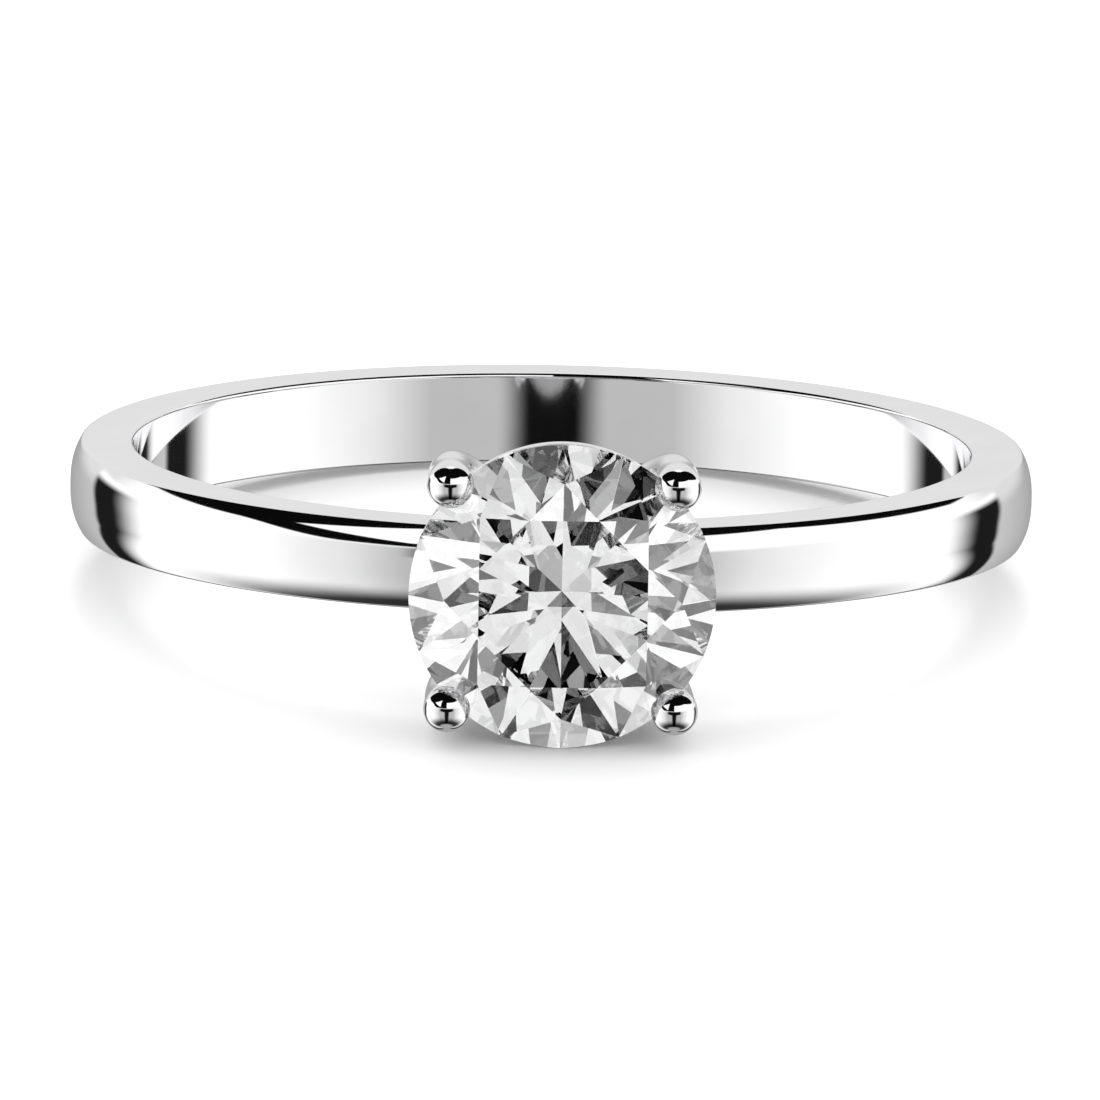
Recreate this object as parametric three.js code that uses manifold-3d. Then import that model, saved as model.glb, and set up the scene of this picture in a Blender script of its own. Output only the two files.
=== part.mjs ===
// A four-claw solitaire engagement ring: one plain tapering shank and a low, tapered basket
// of two rings and four claws that holds a round brilliant-cut stone.
//
// Millimetres. The origin is the centre of the finger hole, +Z runs along the hole and the
// stone faces -Y. The head (basket and stone) is built in a frame of its own, in which z is
// the distance from the finger-hole axis towards the table of the stone.

import * as THREE from 'three';
import { mergeVertices } from 'three/addons/utils/BufferGeometryUtils.js';
import Module from 'manifold-3d';

const wasm = await Module();
wasm.setup();

// Every pair of neighbours keeps this clearance, which solder takes up.
const JOINT_GAP = 0.02;
const WELD_DISTANCE = 1e-5;

// Shank: flat side faces, a domed outside and a straight inside with eased edges.
const BORE_RADIUS = 8.65;
const SHOULDER_RADIUS = 9.7;
const CREST_RADIUS = 9.93;
const DOME_POWER = 2.65;
const MIDDLE_HALF_WIDTH = 0.925;
const WIDENING_PER_MM = 0.0055;
const EASED_EDGE = 0.09;
const SHANK_SEGMENTS = 96;
const DOME_STEPS = 10;
const EASE_STEPS = 3;

// Tapered hole drilled through the shank under the stone, which leaves room for the culet.
const HOLE_OUTER_RADIUS = 0.6;
const HOLE_INNER_RADIUS = 0.4;
const HOLE_SEGMENTS = 32;

// Stone: a round brilliant with its table's flats to the sides, top and bottom.
const STONE_RADIUS = 3.05;
const GIRDLE_DISTANCE = 12.4;
const GIRDLE_THICKNESS = 0.2;
const TABLE_RATIO = 0.594;
const CROWN_ANGLE = THREE.MathUtils.degToRad(34.5);
const PAVILION_ANGLE = THREE.MathUtils.degToRad(40.8);
const STAR_LENGTH_RATIO = 0.5;
const LOWER_HALF_RATIO = 0.77;
const STONE_FOLDS = 8;
const RIM_STEPS = 4;

// Claws: round wire that curves up from the base ring, straightens and ends in a ball.
const CLAW_COUNT = 4;
const CLAW_TIP_CENTRE = 3.19;
const CLAW_FOOT_CENTRE = 2.66;
const CLAW_FOOT = 9.75;
const CLAW_STRAIGHT_FROM = 12;
const CLAW_TIP = GIRDLE_DISTANCE + 0.27;
const CLAW_WIRE_RADIUS = 0.43;
const CLAW_BALL_RADIUS = 0.465;
const NOTCH_SCALE = 1.01;
const CLAW_CURVE_POINTS = 5;
const CLAW_CURVE_POWER = 3;
const CLAW_SIDES = 16;
const CLAW_STEPS = 10;
const BALL_ROWS = 12;

// Base ring: a flat collar that sits astride the shank.
const BASE_INNER_RADIUS = 1.85;
const BASE_OUTER_RADIUS = 2.5;
const BASE_BOTTOM = 9.45;
const BASE_TOP = 10.3;
const BASE_EDGE = 0.1;

// Gallery rail: a round-section ring halfway up the basket, below the stone's girdle.
const RAIL_CENTRE_RADIUS = 2.6;
const RAIL_DISTANCE = 11.2;
const RAIL_WIRE_RADIUS = 0.3;
const RAIL_SIDES = 12;
const RING_SEGMENTS = 48;

const METAL = { color: 0xdcdddf, roughness: 0.06, metalness: 1 };
const DIAMOND = { color: 0xffffff, roughness: 0, metalness: 0 };

function solidOf(geometry) {
  const bare = geometry.clone();
  bare.deleteAttribute('normal');
  bare.deleteAttribute('uv');
  const welded = mergeVertices(bare, WELD_DISTANCE);
  return new wasm.Manifold(new wasm.Mesh({
    numProp: 3,
    vertProperties: welded.attributes.position.array,
    triVerts: new Uint32Array(welded.index.array),
  }));
}

function geometryOf(solid) {
  const { vertProperties, triVerts } = solid.getMesh();
  const geometry = new THREE.BufferGeometry();
  geometry.setAttribute('position', new THREE.BufferAttribute(vertProperties, 3));
  geometry.setIndex(new THREE.BufferAttribute(triVerts, 1));
  geometry.computeVertexNormals();
  return geometry;
}

function namedMesh(name, geometry, finish) {
  const mesh = new THREE.Mesh(geometry, new THREE.MeshStandardMaterial(finish));
  mesh.name = name;
  return mesh;
}

// Turns a closed profile, given as (radius, distance along the axis), about Z.
function turnedRing(profile, segments) {
  const closed = [...profile, profile[0].clone()];
  return new THREE.LatheGeometry(closed, segments).rotateX(Math.PI / 2);
}

// The shank's section, as (radius, fraction of the half width). Extra metal on every side
// turns it into the cutter for a part that sits on the shank.
function shankProfile(extra) {
  const points = [];
  for (let i = 0; i <= DOME_STEPS; i += 1) {
    const across = -Math.cos(Math.PI * i / DOME_STEPS);
    const rise = (CREST_RADIUS - SHOULDER_RADIUS) * (1 - Math.abs(across) ** DOME_POWER);
    points.push(new THREE.Vector2(SHOULDER_RADIUS + rise + extra, across));
  }
  const easedFraction = EASED_EDGE / MIDDLE_HALF_WIDTH;
  for (const side of [1, -1]) {
    for (let i = 0; i <= EASE_STEPS; i += 1) {
      const step = side > 0 ? i : EASE_STEPS - i;
      const turn = Math.PI / 2 * step / EASE_STEPS;
      const radius = BORE_RADIUS + EASED_EDGE * (1 - Math.sin(turn)) - extra;
      points.push(new THREE.Vector2(radius, side * (1 - easedFraction * (1 - Math.cos(turn)))));
    }
  }
  return points;
}

// The side faces are two flat planes that lean apart slightly, so the shank is widest at
// the back of the finger (+Y) and narrowest at the head (-Y).
function shankBlank(extra) {
  const blank = turnedRing(shankProfile(extra), SHANK_SEGMENTS);
  const place = blank.attributes.position;
  for (let i = 0; i < place.count; i += 1) {
    const halfWidth = MIDDLE_HALF_WIDTH + WIDENING_PER_MM * place.getY(i) + extra;
    place.setZ(i, place.getZ(i) * halfWidth);
  }
  return blank;
}

function seatHole() {
  const length = 2 * (CREST_RADIUS - BORE_RADIUS);
  const middle = (CREST_RADIUS + BORE_RADIUS) / 2;
  return new THREE.CylinderGeometry(
    HOLE_INNER_RADIUS,
    HOLE_OUTER_RADIUS,
    length,
    HOLE_SEGMENTS,
  ).translate(0, -middle, 0);
}

function shankGeometry() {
  return geometryOf(solidOf(shankBlank(0)).subtract(solidOf(seatHole())));
}

// The cutter for parts of the head, in the head's own frame.
function saddleCutter() {
  return solidOf(shankBlank(JOINT_GAP).rotateX(-Math.PI / 2));
}

function polar(radius, angle, height) {
  return new THREE.Vector3(radius * Math.cos(angle), radius * Math.sin(angle), height);
}

// The height, at an angle on the stone's rim, of the plane through three points.
function rimPoint(radius, angle, plane) {
  const point = polar(radius, angle, 0);
  const height = -(plane.normal.x * point.x + plane.normal.y * point.y + plane.constant);
  return point.setZ(height / plane.normal.z);
}

// Crown or pavilion: eight main facets, sixteen half facets that meet the girdle in arcs,
// and a closing facet. Returns the triangles and the rim, both as lists of points.
function stoneSide(radius, side, slope, meetRadius, tableRadius) {
  const fold = 2 * Math.PI / STONE_FOLDS;
  const edge = side * GIRDLE_THICKNESS / 2;
  const mainHeight = (distance) => edge + side * (radius - distance) * Math.tan(slope);
  const meetHeight = mainHeight(meetRadius * Math.cos(fold / 2));
  const top = mainHeight(tableRadius);
  const triangles = [];
  const rim = [];
  for (let k = 0; k < STONE_FOLDS; k += 1) {
    const main = (k + 0.5) * fold;
    const meetBefore = polar(meetRadius, main - fold / 2, meetHeight);
    const meetAfter = polar(meetRadius, main + fold / 2, meetHeight);
    const foot = polar(radius, main, edge);
    const peak = polar(tableRadius, main, top);
    triangles.push([peak, meetBefore, foot], [peak, foot, meetAfter]);
    for (const [meet, from, to] of [[meetBefore, -1, 0], [meetAfter, 0, 1]]) {
      const corners = [from, to].map((turn) => polar(radius, main + turn * fold / 2, edge));
      const plane = new THREE.Plane().setFromCoplanarPoints(meet, corners[0], corners[1]);
      const arc = Array.from({ length: RIM_STEPS + 1 }, (_, i) => {
        const turn = from + (to - from) * i / RIM_STEPS;
        return rimPoint(radius, main + turn * fold / 2, plane);
      });
      for (let i = 0; i < RIM_STEPS; i += 1) {
        triangles.push([meet, arc[i], arc[i + 1]]);
      }
      rim.push(...arc.slice(0, RIM_STEPS));
    }
    if (tableRadius > 0) {
      const nextPeak = polar(tableRadius, main + fold, top);
      triangles.push([peak, meetAfter, nextPeak]);
      triangles.push([new THREE.Vector3(0, 0, top), peak, nextPeak]);
    }
  }
  const facing = side > 0 ? triangles : triangles.map(([a, b, c]) => [a, c, b]);
  return { triangles: facing, rim };
}

// A round brilliant on Z, with its table up and its girdle centred on z = 0.
function stoneGeometry(scale) {
  const radius = STONE_RADIUS;
  const tableRadius = TABLE_RATIO * radius;
  const tableFlat = tableRadius * Math.cos(Math.PI / STONE_FOLDS);
  const starRadius = tableFlat + STAR_LENGTH_RATIO * (radius - tableFlat);
  const lowerRadius = (1 - LOWER_HALF_RATIO) * radius;
  const crown = stoneSide(radius, 1, CROWN_ANGLE, starRadius, tableRadius);
  const pavilion = stoneSide(radius, -1, PAVILION_ANGLE, lowerRadius, 0);
  const girdle = crown.rim.flatMap((upper, i) => {
    const next = (i + 1) % crown.rim.length;
    return [
      [upper, pavilion.rim[i], pavilion.rim[next]],
      [upper, pavilion.rim[next], crown.rim[next]],
    ];
  });
  const points = [...crown.triangles, ...pavilion.triangles, ...girdle].flat();
  const soup = new THREE.BufferGeometry().setFromPoints(points);
  const geometry = mergeVertices(soup, WELD_DISTANCE).scale(scale, scale, scale);
  geometry.translate(0, 0, GIRDLE_DISTANCE);
  geometry.computeVertexNormals();
  return geometry;
}

// The centre line of a claw on the XZ plane: out from the foot in a curve that eases into
// the straight stretch up to the tip.
function clawPath() {
  const points = [];
  for (let i = 0; i <= CLAW_CURVE_POINTS; i += 1) {
    const left = 1 - i / CLAW_CURVE_POINTS;
    const inset = (CLAW_TIP_CENTRE - CLAW_FOOT_CENTRE) * left ** CLAW_CURVE_POWER;
    const height = CLAW_STRAIGHT_FROM + (CLAW_FOOT - CLAW_STRAIGHT_FROM) * left;
    points.push(new THREE.Vector3(CLAW_TIP_CENTRE - inset, 0, height));
  }
  points.push(new THREE.Vector3(CLAW_TIP_CENTRE, 0, CLAW_TIP));
  return new THREE.CatmullRomCurve3(points);
}

function clawWire(extra) {
  const section = new THREE.Shape().absarc(0, 0, CLAW_WIRE_RADIUS + extra, 0, 2 * Math.PI);
  return new THREE.ExtrudeGeometry(section, {
    steps: CLAW_STEPS,
    curveSegments: CLAW_SIDES / 2,
    extrudePath: clawPath(),
  });
}

function clawBall() {
  return new THREE.SphereGeometry(CLAW_BALL_RADIUS, CLAW_SIDES, BALL_ROWS)
    .rotateX(Math.PI / 2)
    .translate(CLAW_TIP_CENTRE, 0, CLAW_TIP);
}

// The claw at an angle round the basket. Its notch follows the edge of the stone, which is
// made a little larger here so that the two stay apart.
function clawGeometry(angle) {
  const claw = solidOf(clawWire(0).rotateZ(angle)).add(solidOf(clawBall().rotateZ(angle)));
  return geometryOf(claw.subtract(solidOf(stoneGeometry(NOTCH_SCALE))));
}

function cornerAngle(index) {
  return 2 * Math.PI * (index + 0.5) / CLAW_COUNT;
}

// Files a notch for each claw into a ring of the basket.
function notchedForClaws(ring) {
  let solid = solidOf(ring);
  for (let i = 0; i < CLAW_COUNT; i += 1) {
    solid = solid.subtract(solidOf(clawWire(JOINT_GAP).rotateZ(cornerAngle(i))));
  }
  return solid;
}

function baseRingGeometry() {
  const profile = [
    [BASE_INNER_RADIUS + BASE_EDGE, BASE_BOTTOM],
    [BASE_OUTER_RADIUS - BASE_EDGE, BASE_BOTTOM],
    [BASE_OUTER_RADIUS, BASE_BOTTOM + BASE_EDGE],
    [BASE_OUTER_RADIUS, BASE_TOP - BASE_EDGE],
    [BASE_OUTER_RADIUS - BASE_EDGE, BASE_TOP],
    [BASE_INNER_RADIUS + BASE_EDGE, BASE_TOP],
    [BASE_INNER_RADIUS, BASE_TOP - BASE_EDGE],
    [BASE_INNER_RADIUS, BASE_BOTTOM + BASE_EDGE],
  ].map(([radius, distance]) => new THREE.Vector2(radius, distance));
  const collar = turnedRing(profile, RING_SEGMENTS);
  return geometryOf(notchedForClaws(collar).subtract(saddleCutter()));
}

function galleryRailGeometry() {
  const rail = new THREE.TorusGeometry(
    RAIL_CENTRE_RADIUS,
    RAIL_WIRE_RADIUS,
    RAIL_SIDES,
    RING_SEGMENTS,
  ).translate(0, 0, RAIL_DISTANCE);
  return geometryOf(notchedForClaws(rail));
}

function makeHead() {
  const head = new THREE.Group();
  head.rotation.x = Math.PI / 2;
  head.add(namedMesh('base_ring', baseRingGeometry(), METAL));
  head.add(namedMesh('gallery_rail', galleryRailGeometry(), METAL));
  const corners = ['upper_right', 'upper_left', 'lower_left', 'lower_right'];
  corners.forEach((corner, index) => {
    head.add(namedMesh(`claw_${corner}`, clawGeometry(cornerAngle(index)), METAL));
  });
  head.add(namedMesh('centre_stone', stoneGeometry(1), DIAMOND));
  return head;
}

const ring = new THREE.Group();
ring.add(namedMesh('shank', shankGeometry(), METAL));
ring.add(makeHead());

export default ring;
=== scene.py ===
"""A four-claw solitaire engagement ring, finished around its CAD frame.

Every metal piece and the stone are rebuilt here with fine surfaces in the place that the
frame gives. The head is drawn in a frame of its own, whose z is the distance from the
finger-hole axis towards the stone's table; the row frame has that direction as -Y.
"""

import math

import bmesh
import bpy
from mathutils import Matrix, Vector


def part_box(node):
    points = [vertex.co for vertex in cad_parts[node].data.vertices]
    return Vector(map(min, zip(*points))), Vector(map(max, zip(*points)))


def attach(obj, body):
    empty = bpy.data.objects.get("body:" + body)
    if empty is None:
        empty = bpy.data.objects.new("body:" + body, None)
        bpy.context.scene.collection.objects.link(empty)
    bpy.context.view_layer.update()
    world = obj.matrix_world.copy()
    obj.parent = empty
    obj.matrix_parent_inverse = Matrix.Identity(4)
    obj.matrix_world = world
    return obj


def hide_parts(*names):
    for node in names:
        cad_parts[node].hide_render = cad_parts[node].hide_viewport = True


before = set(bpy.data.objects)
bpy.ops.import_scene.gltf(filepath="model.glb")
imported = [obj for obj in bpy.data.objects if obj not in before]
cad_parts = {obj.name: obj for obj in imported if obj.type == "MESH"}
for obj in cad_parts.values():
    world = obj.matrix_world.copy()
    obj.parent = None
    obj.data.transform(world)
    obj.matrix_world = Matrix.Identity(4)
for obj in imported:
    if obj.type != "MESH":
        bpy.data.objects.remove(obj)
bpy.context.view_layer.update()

MM = 0.001
TURN = 2 * math.pi

# ---------------------------------------------------------------- sizes from the frame


def radii_of(node):
    """Distances of a node's vertices from the finger-hole axis."""
    return [math.hypot(v.co.x, v.co.y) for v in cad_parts[node].data.vertices]


def head_radii_of(node):
    """Distances of a node's vertices from the head's axis."""
    return [math.hypot(v.co.x, v.co.z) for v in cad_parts[node].data.vertices]


SHANK_LOW, SHANK_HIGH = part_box("shank")
STONE_LOW, STONE_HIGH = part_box("centre_stone")
BASE_LOW, BASE_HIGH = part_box("base_ring")
RAIL_LOW, RAIL_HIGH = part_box("gallery_rail")
CLAW_LOW, CLAW_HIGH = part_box("claw_upper_right")

BORE_RADIUS = min(radii_of("shank"))
CREST_RADIUS = max(radii_of("shank"))
BACK_HALF_WIDTH = SHANK_HIGH.z

# The band's side faces are flat and lean apart towards the back of the finger.
WIDENING = 0.0055
SHOULDER_RADIUS = CREST_RADIUS - 0.23 * MM
MIDDLE_HALF_WIDTH = BACK_HALF_WIDTH - WIDENING * SHOULDER_RADIUS
DOME_POWER = 2.65
EASED_EDGE = 0.09 * MM
CORNER_REACH = 0.05 * MM
HOLE_OUTER_RADIUS = 0.6 * MM
HOLE_INNER_RADIUS = 0.4 * MM
HOLE_CHAMFER = 0.035 * MM

STONE_RADIUS = STONE_HIGH.x
GIRDLE_THICKNESS = 0.2 * MM
TABLE_RATIO = 0.594
CROWN_ANGLE = math.radians(34.5)
PAVILION_ANGLE = math.radians(40.8)
STAR_LENGTH_RATIO = 0.5
LOWER_HALF_RATIO = 0.77
STONE_FOLDS = 8
NOTCH_SCALE = 1.003
RIM_STEPS = 16
CROWN_HEIGHT = STONE_RADIUS * (1 - TABLE_RATIO) * math.tan(CROWN_ANGLE)
GIRDLE_DISTANCE = -STONE_LOW.y - CROWN_HEIGHT - GIRDLE_THICKNESS / 2

CLAW_BALL_RADIUS = 0.465 * MM
CLAW_WIRE_RADIUS = 0.43 * MM
CLAW_TIP = -CLAW_LOW.y - CLAW_BALL_RADIUS
CLAW_TIP_CENTRE = max(head_radii_of("claw_upper_right")) - CLAW_BALL_RADIUS
CLAW_FOOT_CENTRE = 2.66 * MM
CLAW_FOOT = 9.75 * MM
CLAW_STRAIGHT_FROM = 12 * MM
CLAW_SWELL_LENGTH = 0.9 * MM
BASE_EDGE = 0.12 * MM

SHARP_ANGLE = math.radians(24)
DOME_STEPS = 26
CORNER_STEPS = 8
SHANK_SEGMENTS = 480
RING_SEGMENTS = 192

# ---------------------------------------------------------------- mesh tools


def mesh_object(name, points, faces, smooth=True):
    """A linked object made of these points and faces."""
    mesh = bpy.data.meshes.new(name)
    mesh.from_pydata([tuple(p) for p in points], [], faces)
    mesh.validate()
    mesh.polygons.foreach_set("use_smooth", [smooth] * len(mesh.polygons))
    piece = bpy.data.objects.new(name, mesh)
    bpy.context.scene.collection.objects.link(piece)
    return piece


def loop_faces(rows, columns, wrap_rows):
    """Quads over a grid that closes on itself along its columns, and along its rows if asked."""
    faces = []
    for row in range(rows if wrap_rows else rows - 1):
        above = (row + 1) % rows
        for column in range(columns):
            beside = (column + 1) % columns
            faces.append(
                (
                    row * columns + column,
                    row * columns + beside,
                    above * columns + beside,
                    above * columns + column,
                )
            )
    return faces


def face_outwards(piece):
    """Makes the mesh's faces agree and point out of the solid."""
    work = bmesh.new()
    work.from_mesh(piece.data)
    bmesh.ops.remove_doubles(work, verts=work.verts, dist=1e-8)
    bmesh.ops.recalc_face_normals(work, faces=work.faces)
    work.to_mesh(piece.data)
    work.free()


def mark_sharp(piece):
    """Edges that turn by more than SHARP_ANGLE are drawn sharp, and the rest smooth."""
    work = bmesh.new()
    work.from_mesh(piece.data)
    for edge in work.edges:
        edge.smooth = len(edge.link_faces) == 2 and edge.calc_face_angle(math.pi) < SHARP_ANGLE
    work.to_mesh(piece.data)
    work.free()


def volume_of(mesh):
    """The volume inside a closed mesh."""
    work = bmesh.new()
    work.from_mesh(mesh)
    volume = abs(work.calc_volume())
    work.free()
    return volume


def cut(piece, cutter, keep_cutter=False):
    """Takes the cutter out of the piece for good. A result that is bigger than the piece
    means that the solver joined the two instead."""
    modifier = piece.modifiers.new("cut", "BOOLEAN")
    modifier.operation = "DIFFERENCE"
    modifier.solver = "EXACT"
    modifier.object = cutter
    depsgraph = bpy.context.evaluated_depsgraph_get()
    result = bpy.data.meshes.new_from_object(piece.evaluated_get(depsgraph))
    piece.modifiers.clear()
    old = piece.data
    if volume_of(result) > volume_of(old):
        raise ValueError(f"cutting {cutter.name} out of {piece.name} made it bigger")
    piece.data = result
    bpy.data.meshes.remove(old)
    if not keep_cutter:
        bpy.data.objects.remove(cutter)


def arc(centre, radius, start, end, steps):
    """Points on an arc, both ends included."""
    return [
        (
            centre[0] + radius * math.cos(start + (end - start) * i / steps),
            centre[1] + radius * math.sin(start + (end - start) * i / steps),
        )
        for i in range(steps + 1)
    ]


def soft_corner(before, corner, after, steps):
    """A curve that leaves one line and joins the next, tangent to both."""
    points = []
    for i in range(steps + 1):
        t = i / steps
        weights = ((1 - t) ** 2, 2 * t * (1 - t), t * t)
        points.append(
            tuple(
                sum(w * p[axis] for w, p in zip(weights, (before, corner, after)))
                for axis in (0, 1)
            )
        )
    return points


def turned(name, profile, segments):
    """The closed profile of (radius, z) points turned about Z."""
    points = [
        (r * math.cos(TURN * i / segments), r * math.sin(TURN * i / segments), z)
        for i in range(segments)
        for r, z in profile
    ]
    return mesh_object(name, points, loop_faces(segments, len(profile), True))


# The head's own frame stands its z along -Y.
HEAD_TO_ROW = Matrix.Rotation(math.pi / 2, 4, "X")

# ---------------------------------------------------------------- shank


def dome_radius(across):
    """The outside of the band, from one side (-1) over the crest (0) to the other (1)."""
    rise = (CREST_RADIUS - SHOULDER_RADIUS) * (1 - abs(across) ** DOME_POWER)
    return SHOULDER_RADIUS + rise


def half_shank_profile():
    """The band's section from the crest round one side to the middle of the inside, as
    (radius, z) at the band's middle width."""
    wide = MIDDLE_HALF_WIDTH
    dome_end = 1 - CORNER_REACH / wide
    dome = []
    for i in range(DOME_STEPS):
        across = dome_end * math.sin(math.pi / 2 * i / DOME_STEPS)
        dome.append((dome_radius(across), across * wide))
    corner = soft_corner(
        (dome_radius(dome_end), dome_end * wide),
        (SHOULDER_RADIUS, wide),
        (SHOULDER_RADIUS - CORNER_REACH, wide),
        CORNER_STEPS,
    )
    flat_top = SHOULDER_RADIUS - CORNER_REACH
    flat_bottom = BORE_RADIUS + EASED_EDGE
    flat = [
        (flat_top + (flat_bottom - flat_top) * share, wide)
        for share in (0.03, 0.25, 0.5, 0.75, 0.97)
    ]
    ease = arc(
        (BORE_RADIUS + EASED_EDGE, wide - EASED_EDGE),
        EASED_EDGE,
        math.pi / 2,
        math.pi,
        CORNER_STEPS,
    )
    inside_top = wide - EASED_EDGE
    inside = [(BORE_RADIUS, inside_top * share) for share in (0.97, 0.75, 0.5, 0.25)]
    return dome + corner + flat + ease + inside + [(BORE_RADIUS, 0)]


def make_drill():
    """What the hole under the stone takes out of the band: wider towards the stone, with a
    chamfer at the finger."""
    inside = BORE_RADIUS - 0.5 * MM
    outside = CREST_RADIUS + 0.3 * MM
    profile = [
        (0, inside),
        (HOLE_INNER_RADIUS + 0.5 * MM, inside),
        (HOLE_INNER_RADIUS + HOLE_CHAMFER, BORE_RADIUS - 0.2 * HOLE_CHAMFER),
        (HOLE_INNER_RADIUS, BORE_RADIUS + HOLE_CHAMFER),
        (HOLE_OUTER_RADIUS, CREST_RADIUS),
        (HOLE_OUTER_RADIUS, outside),
        (0, outside),
    ]
    drill = lathe_on_axis("drill", profile, 96)
    drill.data.transform(HEAD_TO_ROW)
    return drill


def make_shank():
    """The band, turned about the finger hole, then narrowed towards the head and drilled."""
    half = half_shank_profile()
    other = [(r, -z) for r, z in reversed(half[1:-1])]
    band = turned("band", half + other, SHANK_SEGMENTS)
    for vertex in band.data.vertices:
        wide = MIDDLE_HALF_WIDTH + WIDENING * vertex.co.y
        vertex.co.z *= wide / MIDDLE_HALF_WIDTH
    face_outwards(band)
    cut(band, make_drill())
    mark_sharp(band)
    return band


def lathe_on_axis(name, profile, segments):
    """A solid turned about Z whose profile starts and ends on the axis."""
    ring = profile[1:-1]
    points = [(0, 0, profile[0][1]), (0, 0, profile[-1][1])]
    for r, z in ring:
        points += [
            (r * math.cos(TURN * i / segments), r * math.sin(TURN * i / segments), z)
            for i in range(segments)
        ]
    faces = [
        tuple(index + 2 for index in quad)
        for quad in loop_faces(len(ring), segments, False)
    ]
    last = 2 + (len(ring) - 1) * segments
    for i in range(segments):
        beside = (i + 1) % segments
        faces.append((0, 2 + beside, 2 + i))
        faces.append((1, last + i, last + beside))
    solid = mesh_object(name, points, faces)
    face_outwards(solid)
    return solid


# ---------------------------------------------------------------- stone


def polar(radius, angle, height):
    return Vector((radius * math.cos(angle), radius * math.sin(angle), height))


def rim_point(radius, angle, plane_point, normal):
    """Where a half facet's plane meets the round edge of the stone."""
    point = polar(radius, angle, 0)
    point.z = plane_point.z - (
        normal.x * (point.x - plane_point.x) + normal.y * (point.y - plane_point.y)
    ) / normal.z
    return point


def stone_side(side, slope, meet_radius, table_radius):
    """The facets of the crown (side 1) or pavilion (side -1) and the rim they leave."""
    fold = TURN / STONE_FOLDS
    edge = side * GIRDLE_THICKNESS / 2

    def main_height(distance):
        return edge + side * (STONE_RADIUS - distance) * math.tan(slope)

    meet_height = main_height(meet_radius * math.cos(fold / 2))
    top = main_height(table_radius)
    facets = []
    rim = []
    for k in range(STONE_FOLDS):
        main = (k + 0.5) * fold
        before = polar(meet_radius, main - fold / 2, meet_height)
        after = polar(meet_radius, main + fold / 2, meet_height)
        foot = polar(STONE_RADIUS, main, edge)
        peak = polar(table_radius, main, top)
        facets.append([peak, before, foot, after])
        for meet, start, end in ((before, -1, 0), (after, 0, 1)):
            first = polar(STONE_RADIUS, main + start * fold / 2, edge)
            second = polar(STONE_RADIUS, main + end * fold / 2, edge)
            normal = (first - meet).cross(second - meet)
            edge_points = [
                rim_point(
                    STONE_RADIUS,
                    main + (start + (end - start) * i / RIM_STEPS) * fold / 2,
                    meet,
                    normal,
                )
                for i in range(RIM_STEPS + 1)
            ]
            facets.append([meet, *edge_points])
            rim += edge_points[:-1]
        if table_radius > 0:
            facets.append([peak, after, polar(table_radius, main + fold, top)])
    if table_radius > 0:
        facets.append(
            [polar(table_radius, (k + 0.5) * fold, top) for k in range(STONE_FOLDS)]
        )
    return facets, rim


def make_stone(name, scale=1.0):
    """A round brilliant about z, table up, its girdle at GIRDLE_DISTANCE."""
    table_radius = TABLE_RATIO * STONE_RADIUS
    table_flat = table_radius * math.cos(math.pi / STONE_FOLDS)
    star_radius = table_flat + STAR_LENGTH_RATIO * (STONE_RADIUS - table_flat)
    lower_radius = (1 - LOWER_HALF_RATIO) * STONE_RADIUS
    crown, upper_rim = stone_side(1, CROWN_ANGLE, star_radius, table_radius)
    pavilion, lower_rim = stone_side(-1, PAVILION_ANGLE, lower_radius, 0)
    count = len(upper_rim)
    girdle = [
        [upper_rim[i], lower_rim[i], lower_rim[(i + 1) % count], upper_rim[(i + 1) % count]]
        for i in range(count)
    ]
    points = []
    faces = []
    for facet in [*crown, *pavilion, *girdle]:
        faces.append(tuple(range(len(points), len(points) + len(facet))))
        points += facet
    points = [p * scale + Vector((0, 0, GIRDLE_DISTANCE)) for p in points]
    stone = mesh_object(name, points, faces, smooth=False)
    face_outwards(stone)
    stone.data.transform(HEAD_TO_ROW)
    return stone


# ---------------------------------------------------------------- claws and rings


def claw_centre(height):
    """How far a claw's centre line is from the head's axis at a height above the finger."""
    left = max(0.0, (CLAW_STRAIGHT_FROM - height) / (CLAW_STRAIGHT_FROM - CLAW_FOOT))
    return CLAW_TIP_CENTRE - (CLAW_TIP_CENTRE - CLAW_FOOT_CENTRE) * left**3


def claw_radius(height):
    """The wire swells smoothly into the ball at its tip."""
    near_tip = 1 - (CLAW_TIP - height) / CLAW_SWELL_LENGTH
    near_tip = min(1.0, max(0.0, near_tip))
    swell = near_tip * near_tip * (3 - 2 * near_tip)
    return CLAW_WIRE_RADIUS + (CLAW_BALL_RADIUS - CLAW_WIRE_RADIUS) * swell


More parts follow.
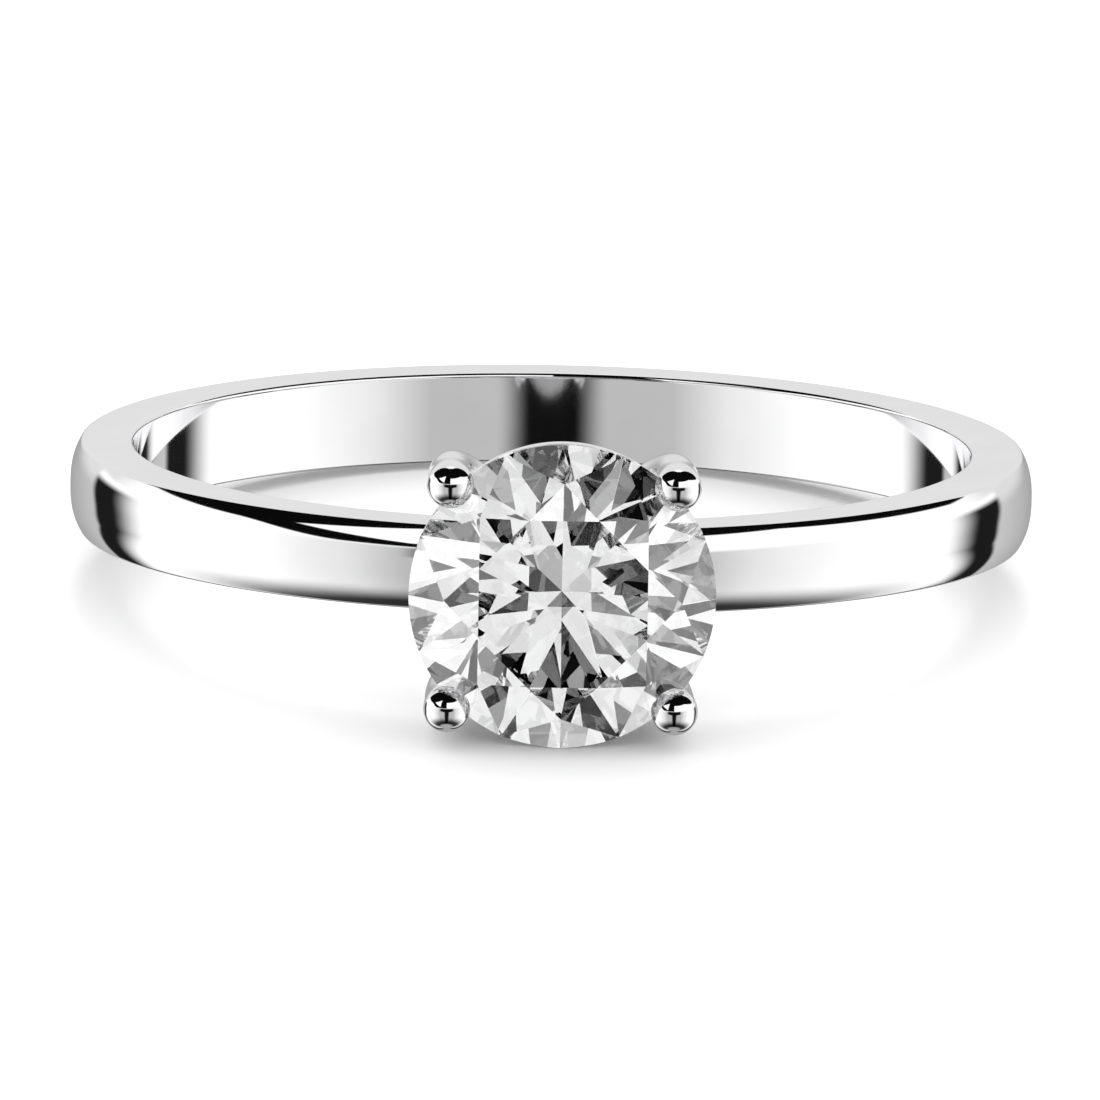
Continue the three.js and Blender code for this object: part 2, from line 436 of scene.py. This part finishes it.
def make_claw(name, angle):
    """One claw, turned to its corner: a wire swept along its centre line, with a round end."""
    sides, stations, cap_rows = 64, 48, 20
    centre_line = []
    for i in range(stations + 1):
        height = CLAW_FOOT + (CLAW_TIP - CLAW_FOOT) * i / stations
        centre_line.append((claw_centre(height), height, claw_radius(height)))
    rings = []
    for i, (centre, height, radius) in enumerate(centre_line):
        before = centre_line[max(0, i - 1)]
        after = centre_line[min(stations, i + 1)]
        lean = math.atan2(after[0] - before[0], after[1] - before[1])
        rings.append((centre, height, radius, lean))
    for i in range(1, cap_rows):
        rise = math.pi / 2 * i / cap_rows
        height = CLAW_TIP + CLAW_BALL_RADIUS * math.sin(rise)
        rings.append((CLAW_TIP_CENTRE, height, CLAW_BALL_RADIUS * math.cos(rise), 0))
    points = []
    for centre, height, radius, lean in rings:
        for k in range(sides):
            across = radius * math.cos(TURN * k / sides)
            along = radius * math.sin(TURN * k / sides)
            points.append(
                (
                    centre + across * math.cos(lean),
                    along,
                    height - across * math.sin(lean),
                )
            )
    faces = loop_faces(len(rings), sides, False)
    points.append((CLAW_TIP_CENTRE, 0, CLAW_TIP + CLAW_BALL_RADIUS))
    last = (len(rings) - 1) * sides
    faces += [(last + k, last + (k + 1) % sides, len(points) - 1) for k in range(sides)]
    faces.append(tuple(reversed(range(sides))))
    claw = mesh_object(name, points, faces)
    face_outwards(claw)
    claw.data.transform(HEAD_TO_ROW @ Matrix.Rotation(angle, 4, "Z"))
    return claw


def rounded_box_profile(low, high, inner, outer, edge):
    """A ring's section with rounded corners, as (radius, z)."""
    corners = [
        ((outer - edge, low + edge), -math.pi / 2),
        ((outer - edge, high - edge), 0),
        ((inner + edge, high - edge), math.pi / 2),
        ((inner + edge, low + edge), math.pi),
    ]
    profile = []
    for centre, start in corners:
        profile += arc(centre, edge, start, start + math.pi / 2, CORNER_STEPS)
    return profile


CORNERS = {"upper_right": 1, "upper_left": 3, "lower_left": 5, "lower_right": 7}


def corner_angle(corner):
    return math.pi / 4 * CORNERS[corner]


def notch_for_claws(ring):
    """Cuts the four claws out of a basket ring."""
    for corner in CORNERS:
        cut(ring, make_claw("cutter", corner_angle(corner)))


def make_base_ring():
    """The lower ring of the basket, still whole, with rounded edges."""
    radii = head_radii_of("base_ring")
    profile = rounded_box_profile(
        -BASE_HIGH.y, -BASE_LOW.y, min(radii), BASE_HIGH.x, BASE_EDGE
    )
    ring = turned("basket_base", profile, RING_SEGMENTS)
    face_outwards(ring)
    ring.data.transform(HEAD_TO_ROW)
    return ring


def make_gallery_rail():
    """The upper ring of the basket, still whole, of round wire."""
    wire = (RAIL_HIGH.y - RAIL_LOW.y) / 2
    middle = -(RAIL_HIGH.y + RAIL_LOW.y) / 2
    profile = arc((RAIL_HIGH.x - wire, middle), wire, 0, TURN, 48)[:-1]
    ring = turned("basket_rail", profile, RING_SEGMENTS)
    face_outwards(ring)
    ring.data.transform(HEAD_TO_ROW)
    return ring


# ---------------------------------------------------------------- node trees


class Nodes:
    """A short way to write a node tree."""

    def __init__(self, tree):
        self.tree = tree
        self.place = None

    def add(self, kind, inputs=None, **settings):
        """A node with some settings, and inputs given as numbers or as outputs to link."""
        node = self.tree.nodes.new(kind)
        for key, value in settings.items():
            setattr(node, key, value)
        for key, value in (inputs or {}).items():
            if isinstance(value, bpy.types.NodeSocket):
                self.link(value, node.inputs[key])
            else:
                node.inputs[key].default_value = value
        return node

    def link(self, output, target):
        self.tree.links.new(output, target)

    def object_place(self):
        if self.place is None:
            self.place = self.add("ShaderNodeTexCoord").outputs["Object"]
        return self.place

    def noise(self, scale, detail, roughness):
        inputs = {
            "Vector": self.object_place(),
            "Scale": scale,
            "Detail": detail,
            "Roughness": roughness,
        }
        return self.add("ShaderNodeTexNoise", inputs).outputs["Fac"]

    def math(self, operation, first, second=0.0):
        return self.add(
            "ShaderNodeMath", {0: first, 1: second}, operation=operation
        ).outputs[0]

    def ramp(self, value, low, high, low_out=0.0, high_out=1.0, soft=False):
        """The value's range from low to high, mapped to another range and held there."""
        inputs = {"Value": value, 1: low, 2: high, 3: low_out, 4: high_out}
        kind = "SMOOTHSTEP" if soft else "LINEAR"
        return self.add(
            "ShaderNodeMapRange", inputs, interpolation_type=kind
        ).outputs["Result"]

    def window(self, value, low, high, soft):
        """One between low and high, and nought beyond, with soft edges."""
        rise = self.ramp(value, low - soft / 2, low + soft / 2, soft=True)
        fall = self.ramp(value, high - soft / 2, high + soft / 2, 1, 0, soft=True)
        return self.math("MULTIPLY", rise, fall)

    def blend(self, factor, first, second):
        """The first number or output where factor is nought, the second where it is one."""
        inputs = {"Factor": factor, "A": first, "B": second}
        return self.add("ShaderNodeMix", inputs, data_type="FLOAT").outputs[0]

    def blend_colour(self, factor, first, second):
        inputs = {0: factor, 6: (*first, 1), 7: (*second, 1)}
        return self.add("ShaderNodeMix", inputs, data_type="RGBA").outputs[2]


# ---------------------------------------------------------------- materials

DIAMOND_IOR = 2.417


def new_material(name):
    material = bpy.data.materials.new(name)
    material.use_nodes = True
    return material, Nodes(material.node_tree), material.node_tree.nodes["Principled BSDF"]


def polished_metal(name, light, dark):
    """Mirror-polished white metal with faint patches and hairline wear."""
    material, nodes, shader = new_material(name)
    shader.inputs["Metallic"].default_value = 1
    patches = nodes.noise(scale=420, detail=3, roughness=0.55)
    tint = nodes.blend_colour(nodes.ramp(patches, 0.35, 0.65), dark, light)
    nodes.link(tint, shader.inputs["Base Color"])
    wear = nodes.noise(scale=1900, detail=5, roughness=0.6)
    nodes.link(nodes.ramp(wear, 0.3, 0.8, 0.03, 0.06), shader.inputs["Roughness"])
    return material


def clear_stone(name):
    """Colourless diamond with the faintest cool clouds."""
    material, nodes, shader = new_material(name)
    shader.inputs["Roughness"].default_value = 0
    shader.inputs["IOR"].default_value = DIAMOND_IOR
    shader.inputs["Transmission Weight"].default_value = 1
    clouds = nodes.noise(scale=900, detail=2, roughness=0.5)
    tint = nodes.blend_colour(nodes.ramp(clouds, 0.4, 0.7), (1, 1, 1), (0.985, 0.99, 0.995))
    nodes.link(tint, shader.inputs["Base Color"])
    return material


# ---------------------------------------------------------------- camera

CAMERA_DISTANCE = 300 * MM
CAMERA_ELEVATION = math.radians(9.91)
CAMERA_AZIMUTH = math.radians(-1.2)
CAMERA_TILT = math.radians(-0.244)
CAMERA_ROLL = math.radians(-1.0144)
LENS = 475.17
SENSOR = 36


def make_camera():
    """Faces the centre of the finger hole from the head's side and a little above, then tilts
    down and rolls."""
    back = Vector((0, -1, 0))
    back.rotate(Matrix.Rotation(-CAMERA_ELEVATION, 3, "X"))
    back.rotate(Matrix.Rotation(CAMERA_AZIMUTH, 3, "Z"))
    forward = -back
    right = forward.cross(Vector((0, 0, 1))).normalized()
    up = right.cross(forward)
    turn = Matrix.Rotation(CAMERA_TILT, 3, right)
    forward, up = turn @ forward, turn @ up
    turn = Matrix.Rotation(CAMERA_ROLL, 3, forward)
    right, up = turn @ right, turn @ up
    data = bpy.data.cameras.new("camera")
    data.lens = LENS
    data.sensor_width = SENSOR
    data.clip_start = 0.01
    data.clip_end = 10
    camera = bpy.data.objects.new("camera", data)
    axes = Matrix((right, up, -forward)).transposed().to_4x4()
    camera.matrix_world = Matrix.Translation(back * CAMERA_DISTANCE) @ axes
    bpy.context.scene.collection.objects.link(camera)
    bpy.context.scene.camera = camera


# ---------------------------------------------------------------- studio

# Tones of the studio. The backdrop is what the camera sees, and the floor light what lights
# the floor. The others are what the metal and the stone reflect.
BACKDROP = 1.0
FLOOR_LIGHT = 1.3
WHITE = 1.14
BLACK = 0.003
CAMERA_TONE = 0.006
BAR_TONE = 0.012

# Places in the studio, in degrees: round from the camera's side, or above the horizon.
POST_HALF_WIDTH = 6
CAMERA_HALF_WIDTH = 27
BAR_EDGE = (110, 127)
BAR_BACK_EDGE = (136, 140)
BAR_LEAN = 20
BAR_SKEW = 2.5 / 130
WALL_TOP = (8, 13)
WALL_FOOT = (-76, -66)
CEILING_GAP = (68, 84)
WEDGE_SPAN = (34, 70)


def front_tone(nodes, around, height):
    """The front of the wall: dark where the camera stands on its narrow post, then grey, and
    white at the sides."""
    half_width = nodes.ramp(height, -8, -2, POST_HALF_WIDTH, CAMERA_HALF_WIDTH, soft=True)
    beside = nodes.math("SUBTRACT", around, half_width)
    tone = nodes.ramp(beside, 0, 10, CAMERA_TONE, 0.55, soft=True)
    tone = nodes.math("ADD", tone, nodes.ramp(around, 34, 50, 0, 0.33))
    return nodes.math("ADD", tone, nodes.ramp(around, 50, 80, 0, 0.31))


def wall_tone(nodes, azimuth, height):
    """The wall round the ring, with a dark bar on each side whose foot lies further back, and
    light grey behind."""
    around = nodes.math("ABSOLUTE", azimuth)
    lean = nodes.ramp(height, -34, -14, BAR_LEAN, 0)
    upright = nodes.math("SUBTRACT", around, lean)
    upright = nodes.math("ADD", upright, nodes.math("MULTIPLY", azimuth, BAR_SKEW))
    in_bar = nodes.ramp(upright, *BAR_EDGE, soft=True)
    in_bar = nodes.math("MULTIPLY", in_bar, nodes.ramp(height, 3, 9, 1, 0, soft=True))
    tone = nodes.blend(in_bar, front_tone(nodes, around, height), BAR_TONE)
    behind = nodes.ramp(around, 138, 168, 0.6, 0.4)
    behind = nodes.blend(nodes.ramp(height, -4, 6, soft=True), behind, 0.78)
    return nodes.blend(nodes.ramp(upright, *BAR_BACK_EDGE, soft=True), tone, behind)


def wedge_of_light(nodes, around, height):
    """One in a wedge that narrows away from the camera."""
    low = nodes.ramp(around, *WEDGE_SPAN, 17.5, 30)
    high = nodes.ramp(around, *WEDGE_SPAN, 49, 30)
    above_low = nodes.ramp(nodes.math("SUBTRACT", height, low), 0, 1.2, soft=True)
    below_high = nodes.ramp(nodes.math("SUBTRACT", high, height), 0, 1.2, soft=True)
    wedge = nodes.math("MULTIPLY", above_low, below_high)
    return nodes.math("MULTIPLY", wedge, nodes.window(around, 32, 70, 1))


def lid(nodes, azimuth, height):
    """One in the dark above the wall. On the left a wedge of light lies in it."""
    around = nodes.math("ABSOLUTE", azimuth)
    on_left = nodes.math("LESS_THAN", azimuth, 0.0)
    low_left = nodes.ramp(around, 50, 86, 12, 24, soft=True)
    low_right = nodes.ramp(around, 66, 118, 39.5, 20)
    low = nodes.blend(on_left, low_right, low_left)
    low = nodes.blend(nodes.ramp(around, 126, 134), low, 84)
    inside = nodes.ramp(nodes.math("SUBTRACT", height, low), -0.8, 0.8, soft=True)
    wedge = nodes.math("MULTIPLY", wedge_of_light(nodes, around, height), on_left)
    return nodes.math("MULTIPLY", inside, nodes.math("SUBTRACT", 1.0, wedge))


def seen_by_metal(nodes, azimuth, height):
    """The studio as the metal mirrors it. azimuth is the angle to the right of the camera's
    side, and height the angle above the horizon, in degrees."""
    around = nodes.math("ABSOLUTE", azimuth)
    falling = nodes.ramp(height, -60, -28, 0.03, 1, soft=True)
    falling = nodes.blend(nodes.ramp(around, 100, 150, soft=True), falling, 1.0)
    wall = nodes.math("MULTIPLY", wall_tone(nodes, azimuth, height), falling)
    wall = nodes.blend(nodes.ramp(height, *WALL_FOOT, 1, 0, soft=True), wall, 0.42)
    over = nodes.blend(nodes.window(height, *CEILING_GAP, 3), 0.82, WHITE)
    over = nodes.blend(nodes.ramp(around, 122, 134), WHITE, over)
    shade = nodes.blend(nodes.ramp(height, *WALL_TOP, soft=True), wall, over)
    return nodes.blend(lid(nodes, azimuth, height), shade, BLACK)


def seen_by_stone(nodes, direction):
    """The studio as the stone breaks it up: white, with grey and dark patches. The location
    picks which stretch of the noise the stone looks into."""
    inputs = {"Vector": direction, "Location": (3.7, 2.59, -4.81)}
    moved = nodes.add("ShaderNodeMapping", inputs).outputs[0]
    inputs = {"Vector": moved, "Scale": 3.2, "Detail": 2.0, "Roughness": 0.6}
    patches = nodes.add("ShaderNodeTexNoise", inputs).outputs["Fac"]
    tone = nodes.ramp(patches, 0.43, 0.47, 0.004, 0.3)
    return nodes.blend(nodes.ramp(patches, 0.478, 0.515), tone, 1.1)


def make_world():
    """A white studio: plain for the camera and the floor, and with light and dark parts for
    the metal and the stone to reflect."""
    world = bpy.data.worlds.new("studio")
    world.use_nodes = True
    nodes = Nodes(world.node_tree)
    background = world.node_tree.nodes["Background"]
    direction = nodes.add("ShaderNodeTexCoord").outputs["Generated"]
    axes = nodes.add("ShaderNodeSeparateXYZ", {0: direction}).outputs
    to_camera = nodes.math("MULTIPLY", axes["Y"], -1.0)
    turn = nodes.math("ARCTAN2", axes["X"], to_camera)
    azimuth = nodes.math("MULTIPLY", turn, 180 / math.pi)
    azimuth = nodes.math("SUBTRACT", azimuth, math.degrees(CAMERA_AZIMUTH))
    rise = nodes.math("ARCSINE", axes["Z"])
    height = nodes.math("MULTIPLY", rise, 180 / math.pi)
    ray = nodes.add("ShaderNodeLightPath").outputs
    mirrored = seen_by_metal(nodes, azimuth, height)
    shade = nodes.blend(ray["Is Glossy Ray"], FLOOR_LIGHT, mirrored)
    refracted = seen_by_stone(nodes, direction)
    shade = nodes.blend(ray["Is Transmission Ray"], shade, refracted)
    shade = nodes.blend(ray["Is Camera Ray"], shade, BACKDROP)
    nodes.link(shade, background.inputs["Color"])
    world.cycles.sampling_method = "NONE"
    bpy.context.scene.world = world


def make_floor():
    """A plain pale floor. The ring lies on the back of its band and the lowest point of its
    stone, so the floor slopes a little under it."""
    back_foot = Vector((0, SHANK_HIGH.y - 0.2 * MM, -BACK_HALF_WIDTH))
    front_foot = Vector((0, -GIRDLE_DISTANCE, STONE_LOW.z))
    fall = (back_foot.z - front_foot.z) / (back_foot.y - front_foot.y)
    reach = 1.5
    corners = [
        (x, y, back_foot.z + (y - back_foot.y) * fall)
        for x, y in ((-reach, -reach), (reach, -reach), (reach, reach), (-reach, reach))
    ]
    floor = mesh_object("floor", corners, [(0, 1, 2, 3)], smooth=False)
    material, nodes, shader = new_material("pale_floor")
    shader.inputs["Roughness"].default_value = 0.9
    shader.inputs["Specular IOR Level"].default_value = 0
    grain = nodes.noise(scale=30, detail=2, roughness=0.5)
    tint = nodes.blend_colour(grain, (0.93, 0.93, 0.93), (0.95, 0.95, 0.95))
    nodes.link(tint, shader.inputs["Base Color"])
    floor.data.materials.append(material)
    floor.visible_glossy = False
    floor.visible_transmission = False


def make_lamp():
    """A broad soft lamp behind the ring, for the soft shadows on the floor."""
    data = bpy.data.lights.new("back_lamp", "SUN")
    data.energy = 1.0
    data.angle = math.radians(14)
    lamp = bpy.data.objects.new("back_lamp", data)
    lamp.rotation_euler = (math.radians(-52), 0, 0)
    lamp.visible_glossy = False
    lamp.visible_transmission = False
    bpy.context.scene.collection.objects.link(lamp)


def set_look():
    """Plain colours, and enough bounces for light to get through the stone."""
    scene = bpy.context.scene
    scene.view_settings.view_transform = "Standard"
    scene.cycles.max_bounces = 24
    scene.cycles.transmission_bounces = 24
    scene.cycles.glossy_bounces = 8


# ---------------------------------------------------------------- assembly


def place_piece(piece, name, node, material):
    piece.name = name
    piece.data.materials.clear()
    piece.data.materials.append(material)
    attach(piece, "root")
    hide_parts(node)


band_metal = polished_metal("mirror_band_metal", (0.93, 0.93, 0.935), (0.88, 0.88, 0.89))
claw_metal = polished_metal("mirror_claw_metal", (0.92, 0.92, 0.925), (0.86, 0.86, 0.87))
stone_material = clear_stone("brilliant_stone")

shank = make_shank()
place_piece(shank, "polished_band", "shank", band_metal)

for corner in CORNERS:
    claw = make_claw("claw", corner_angle(corner))
    cut(claw, make_stone("notch", NOTCH_SCALE))
    mark_sharp(claw)
    place_piece(
        claw, f"ball_claw_{corner}", f"claw_{corner}", claw_metal
    )

# The claws come out of the base ring before the shank: in the other order the solver joins
# one claw to the ring.
base_ring = make_base_ring()
notch_for_claws(base_ring)
cut(base_ring, shank, keep_cutter=True)
mark_sharp(base_ring)
place_piece(base_ring, "basket_base", "base_ring", band_metal)

rail = make_gallery_rail()
notch_for_claws(rail)
mark_sharp(rail)
place_piece(rail, "basket_rail", "gallery_rail", band_metal)

stone = make_stone("round_brilliant")
place_piece(stone, "round_brilliant", "centre_stone", stone_material)

make_camera()
make_world()
make_floor()
make_lamp()
set_look()
